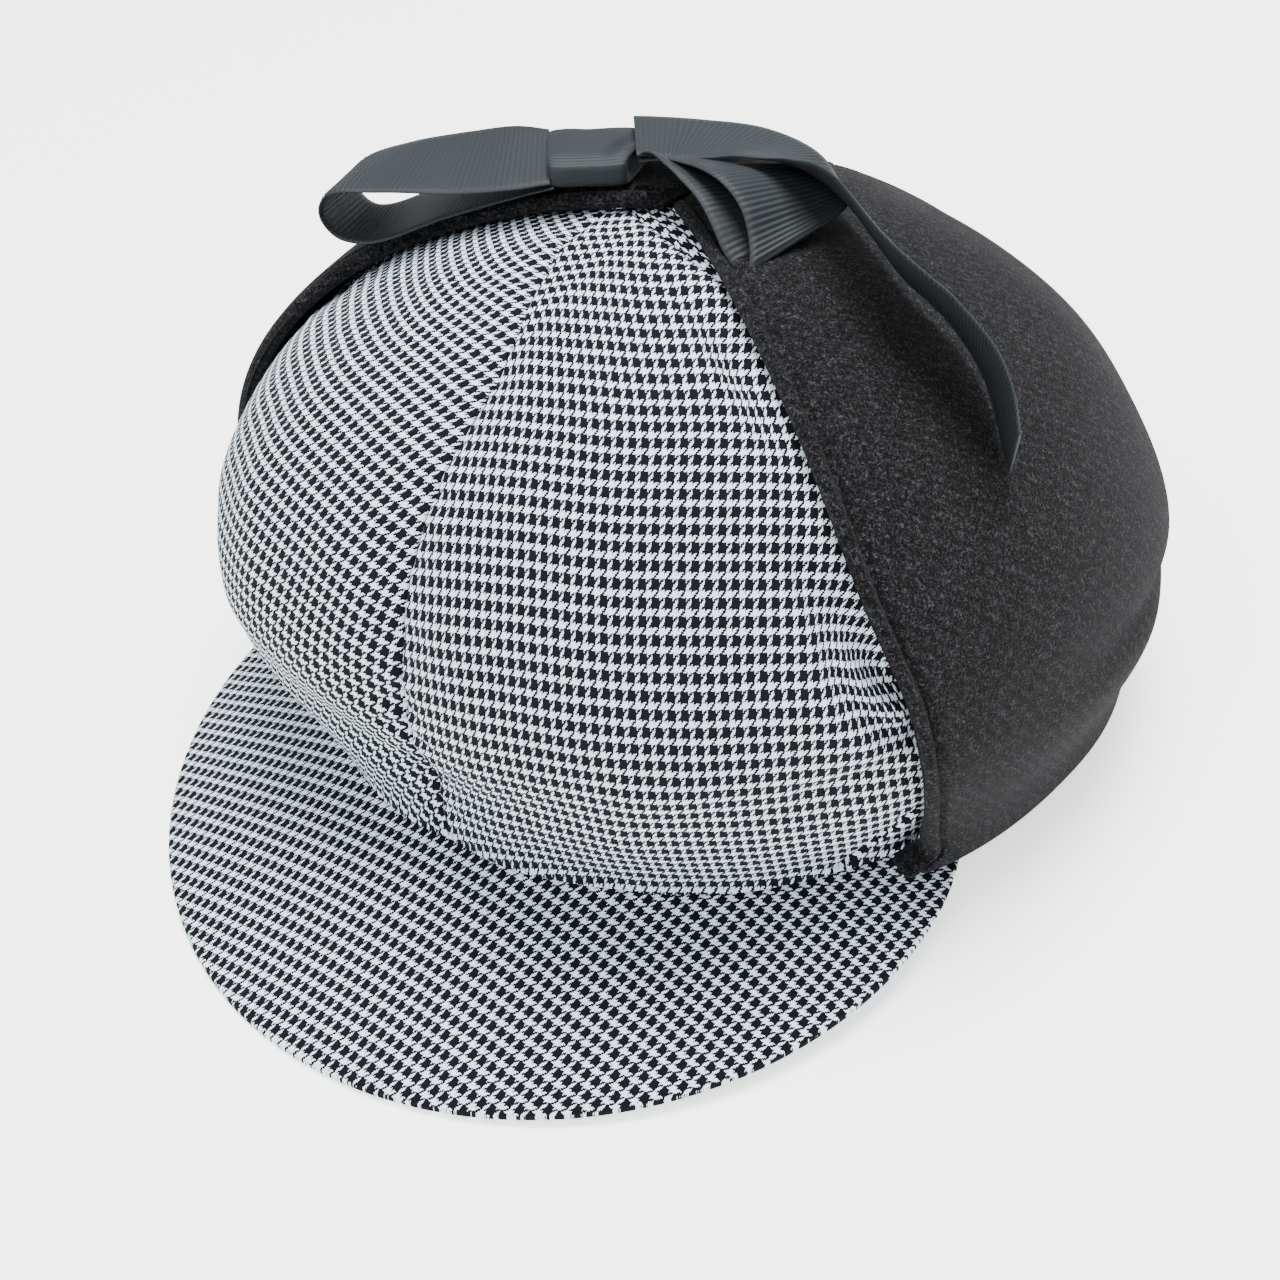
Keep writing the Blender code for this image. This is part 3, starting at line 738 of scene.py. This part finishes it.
# A ribbon swept along its middle line. It is cut into steps of a sixth of a rib, so that its
# ribs are real. They open where the ribbon bends and close where it runs straight.
def addRibbon(name, line, across, widths, openFrom=1.0):
    lengths = [0.0]
    for before, after in zip(line, line[1:]):
        lengths.append(lengths[-1] + (after - before).length)
    rows = int(lengths[-1] / ribbon["ribPitch"] * ribbon["stepsPerRib"])
    places = np.interp(np.linspace(0, lengths[-1], rows + 1), lengths, range(len(line)))

    def between(values, place):
        low = min(int(place), len(values) - 2)
        return values[low] + (values[low + 1] - values[low]) * (place - low)

    last = len(line) - 1
    opening = []
    for index in range(last + 1):
        near, far = max(index - 5, 0), min(index + 5, last)
        middle = (near + far) // 2
        turn = (line[far] - line[middle]).angle(line[middle] - line[near], 0)
        bend = turn / max(lengths[far] - lengths[near], 1) * 2
        eased = max(min(bend / ribbon["ribOpenBend"], 1), smooth(index / last, openFrom, openFrom + 0.3))
        opening.append(ribbon["ribShut"] + (1 - ribbon["ribShut"]) * eased)

    def side(sign):
        def place(u, v):
            index = places[round(v * rows)]
            middle = between(line, index)
            ahead = between(line, min(index + 1, last)) - between(line, max(index - 1, 0))
            wide = between(across, index).normalized()
            off = ahead.cross(wide).normalized()
            along = v * lengths[-1]
            fromEdge = min(u, 1 - u) * ribbon["width"]
            rib = 0.5 + 0.5 * math.cos(math.tau * along / ribbon["ribPitch"])
            rib *= float(np.interp(along, lengths, opening))
            # The selvedge has no ribs and thins out to its edge
            rib = rib if fromEdge > ribbon["selvedge"] else 0.6
            thick = (ribbon["wall"] / 2 + ribbon["ribHeight"] * rib) * min(1.0, 0.35 + fromEdge)
            sideways = ribbon["width"] * between(widths, index) * (u - 0.5)
            return middle + wide * sideways + off * sign * thick, ((u - 0.5) * ribbon["width"], along)

        return place

    mesh = clothGrid(ribbon["columns"], rows, side(1), side(-1))
    # The opened attribute also tells the material where to paint the ribs' highlights and valley shade
    layer, opened = mesh.loops.layers.uv["cloth"], mesh.verts.layers.float.new("opened")
    for face in mesh.faces:
        for loop in face.loops:
            loop.vert[opened] = np.interp(loop[layer].uv.y, lengths, opening)
    piece = finishPiece(name + "_grosgrain", mesh, grosgrain, name)
    return piece, lengths[-1]


# A loop leaves the knot square to it and turns to its own heading further out, as its ribs do to theirs
def addLoop(name, rows, reach, heading, ribHeading):
    out = headingLine(heading)
    left = Vector((-out.y, out.x, 0))
    face = headingLine(ribbon["knotHeading"])
    face = face if face.dot(out) > 0 else -face
    start = knotAt + face * (ribbon["knotWidth"] / 2 - ribbon["tuckUnder"])
    line, across, widths = [], [], []
    for step in range((len(rows) - 1) * ribbon["stepsPerRow"] + 1):
        share, sideways, lift, width, roll = smoothRow(rows, step / ribbon["stepsPerRow"])
        over = start + (out * share + left * sideways) * reach
        line.append(flapTop(discUnder(over.x, over.y), lift * ribbon["width"]))
        ahead = face.lerp(headingLine(ribHeading), min(max(share / ribbon["loopTurn"], 0), 1))
        wide = Vector((-ahead.y, ahead.x, 0)).normalized()
        wide = wide if wide.y > 0 else -wide
        roll = math.radians(roll)
        across.append(wide * math.cos(roll) - Vector((0, 0, math.sin(roll))))
        widths.append(width)
    return addRibbon(name, line, across, widths)


def addTail(name, rows, start, face, lift):
    first = (start.x / hat["rimHalfWidth"], start.y / hat["rimHalfLength"], lift, ribbon["tailStart"], 0)
    rows = [first, *rows]
    spots, line, rolls, widths = [], [], [], []
    for step in range((len(rows) - 1) * ribbon["stepsPerRow"] + 1):
        sideways, back, up, width, twist = smoothRow(rows, step / ribbon["stepsPerRow"])
        spots.append(discUnder(sideways * hat["rimHalfWidth"], back * hat["rimHalfLength"]))
        line.append(flapTop(spots[-1], up * ribbon["width"]))
        rolls.append(math.radians(twist))
        widths.append(width)
    across = [Vector((-face.y, face.x, 0))]
    last = len(line) - 1
    for index in range(1, last + 1):
        ahead = line[min(index + 1, last)] - line[index - 1]
        off = flapTop(spots[index], 25) - flapTop(spots[index], 0)
        wide = Matrix.Rotation(rolls[index], 3, ahead.normalized()) @ off.cross(ahead).normalized()
        across.append(across[0].lerp(wide, min(index / ribbon["stepsPerRow"], 1)))
    return addRibbon(name, line, across, widths, ribbon["tailOpenFrom"])


# A power below one fills a circle out towards a square
def swollen(value, power):
    return math.copysign(abs(value) ** power, value)


# The knot is the ribbon wrapped once round the bow's middle, with one soft fold pinched in its top
def addKnot():
    seat = discUnder(knotAt.x, knotAt.y)
    foot = flapTop(seat, ribbon["knotSeat"])
    up = (flapTop(seat, 25) - foot).normalized()
    level = headingLine(ribbon["knotHeading"])
    back = up.cross(level).normalized()
    turned = Matrix((level, back, level.cross(back))).transposed().to_4x4()
    moved = Matrix.Translation(foot + up * ribbon["knotHeight"] / 2) @ turned
    halfWidth, halfDepth, halfHeight = (ribbon[key] / 2 for key in ("knotWidth", "knotDepth", "knotHeight"))
    # The ribbon's way round the knot, so that its ribs keep their pitch
    turns = np.linspace(-math.pi, math.pi, 1441)
    outline = np.array([(swollen(math.cos(turn), 0.5), swollen(math.sin(turn), 0.5)) for turn in turns])
    steps = np.hypot(*(np.diff(outline, axis=0) * (halfDepth, halfHeight)).T)
    lengths = np.concatenate(([0.0], np.cumsum(steps)))
    girth = float(lengths[-1])
    mesh = bmesh.new()
    bmesh.ops.create_uvsphere(
        mesh, u_segments=ribbon["knotColumns"], v_segments=ribbon["knotRows"], radius=1
    )
    # The opened attribute also tells the material where to paint the ribs' highlights and valley shade
    layer, shown = mesh.loops.layers.uv.new("cloth"), mesh.verts.layers.float.new("opened")
    onCloth = {}

    for vert in mesh.verts:
        along = (math.atan2(vert.co.y, vert.co.x) / math.tau + 0.5) * girth
        turn = float(np.interp(along, lengths, turns))
        taper = math.hypot(vert.co.x, vert.co.y) ** 0.28
        share = swollen(math.sin(math.pi / 2 * vert.co.z), 0.85)
        x, y = swollen(math.cos(turn), 0.5), swollen(math.sin(turn), 0.5)
        onCloth[vert] = (share * halfWidth, along)
        rib = 0.5 + 0.5 * math.cos(math.tau * along / ribbon["ribPitch"])
        corner = smooth(min(abs(x), abs(y)), 0.35, 0.8)
        opened = vert[shown] = ribbon["ribShut"] + (1 - ribbon["ribShut"]) * corner
        across, deep = share * halfWidth + ribbon["knotSlant"] * x * (share + 1) / 2, x * halfDepth
        fromFold = (across - 2) * 0.82 - (deep + 5) * 0.57
        fold = ribbon["foldDepth"] * bell(fromFold, 0, ribbon["foldWidth"])
        fold *= smooth(across, 0, 5) * smooth(y, 0.4, 0.9)
        wave = 0.5 * noise.noise(Vector((across * 0.16, deep * 0.13, y * 0.8 + 4.0)))
        tall = y * (halfHeight - 0.6 + rib * ribbon["ribHeight"] * opened + wave)
        waist = (1 - 0.06 * (1 - share**2)) * taper
        vert.co = Vector((across, deep * waist, (tall - fold) * waist))
    for face in mesh.faces:
        for loop in face.loops:
            loop[layer].uv = onCloth[loop.vert]
    bmesh.ops.transform(mesh, matrix=moved, verts=mesh.verts)
    return finishPiece("ribbon_knot_grosgrain", mesh, grosgrain, "ribbon_knot")


knotPiece = addKnot()
ahead, behind = headingLine(ribbon["knotHeading"]), headingLine(ribbon["knotHeading"] + 90)
leftStart = knotAt + ahead * (ribbon["knotWidth"] / 2 - ribbon["tuckUnder"])
rightStart = knotAt + behind * (ribbon["knotDepth"] / 2 - ribbon["tuckUnder"])
strips = [
    addLoop("bow_loop_" + side, rows, ribbon[side + "LoopReach"], *ribbon[side + "LoopHeadings"])
    for side, rows in (("right", rightLoop), ("left", leftLoop))
]
strips += [
    addTail("bow_tail_left", leftTail, leftStart, ahead, ribbon["leftTailLift"]),
    addTail("bow_tail_right", rightTail, rightStart, behind, ribbon["rightTailLift"]),
]
for piece, length in strips:
    print("stage: ribbon", piece.name, "is", round(length), "mm long")


# Plain pale studio: a broad light high above the hat, a softer one in front of it, pale
# surroundings, and a table that is lit from below. Places are metres.
studio = {
    "floor": "#F6F6F5", "floorDrop": 0.0002, "floorHalf": 6, "glow": 1.6, "world": "#E4EEFA",
    "worldStrength": 0.72, "aimHeight": 0.06,
    "keyAt": (0.05, 0.25, 1.5), "keySize": 0.75, "keyPower": 62,
    "fillAt": (0.0, -1.3, 1.5), "fillSize": 1.2, "fillPower": 34,
}


def addLight(name, at, size, power):
    data = bpy.data.lights.new(name, "AREA")
    data.size = size
    data.energy = power
    lamp = bpy.data.objects.new(name, data)
    lamp.location = at
    aim = Vector((0, 0, studio["aimHeight"])) - Vector(at)
    lamp.rotation_euler = aim.to_track_quat("-Z", "Y").to_euler()
    bpy.context.scene.collection.objects.link(lamp)


def addStudio():
    mesh = bmesh.new()
    bmesh.ops.create_grid(mesh, x_segments=1, y_segments=1, size=studio["floorHalf"])
    bmesh.ops.translate(mesh, vec=(0, 0, -studio["floorDrop"]), verts=mesh.verts)
    data = bpy.data.meshes.new("floor")
    mesh.to_mesh(data)
    mesh.free()
    # Opal acrylic sheet, cast and sanded matt: the eye sees an even white with only faint shadows
    pale = hexColour(studio["floor"])
    material = startMaterial(
        "backlitOpalAcrylic",
        **{"Roughness": 0.8, "Base Color": pale, "Emission Color": pale, "Emission Strength": studio["glow"]},
    )[0]
    data.materials.append(material)
    floor = bpy.data.objects.new("floor", data)
    bpy.context.scene.collection.objects.link(floor)
    world = bpy.data.worlds.new("paleStudio")
    world.use_nodes = True
    background = world.node_tree.nodes["Background"]
    background.inputs[0].default_value = hexColour(studio["world"])
    background.inputs[1].default_value = studio["worldStrength"]
    bpy.context.scene.world = world
    addLight("key", studio["keyAt"], studio["keySize"], studio["keyPower"])
    addLight("fill", studio["fillAt"], studio["fillSize"], studio["fillPower"])


addStudio()

# The photograph's view, given in the hat's own frame and carried along as the hat is set down
view = {
    "azimuth": 36.43, "elevation": 35.68, "distance": 490, "sensor": 36, "lens": 58.6,
    "shiftX": -0.0575, "shiftY": -0.0084,
}


def addCamera():
    turn, tilt = math.radians(view["azimuth"]), math.radians(view["elevation"])
    right = Vector((math.cos(turn), math.sin(turn), 0))
    forward = Vector((-math.sin(turn) * math.cos(tilt), math.cos(turn) * math.cos(tilt), -math.sin(tilt)))
    upward = right.cross(forward)
    turned = rest.to_3x3() * (1 / mm) @ Matrix((right, upward, -forward)).transposed()
    data = bpy.data.cameras.new("camera")
    data.sensor_width = view["sensor"]
    data.lens = view["lens"]
    data.shift_x, data.shift_y = view["shiftX"], view["shiftY"]
    camera = bpy.data.objects.new("camera", data)
    camera.matrix_world = Matrix.Translation(rest @ (-forward * view["distance"])) @ turned.to_4x4()
    bpy.context.scene.collection.objects.link(camera)
    bpy.context.scene.camera = camera


addCamera()
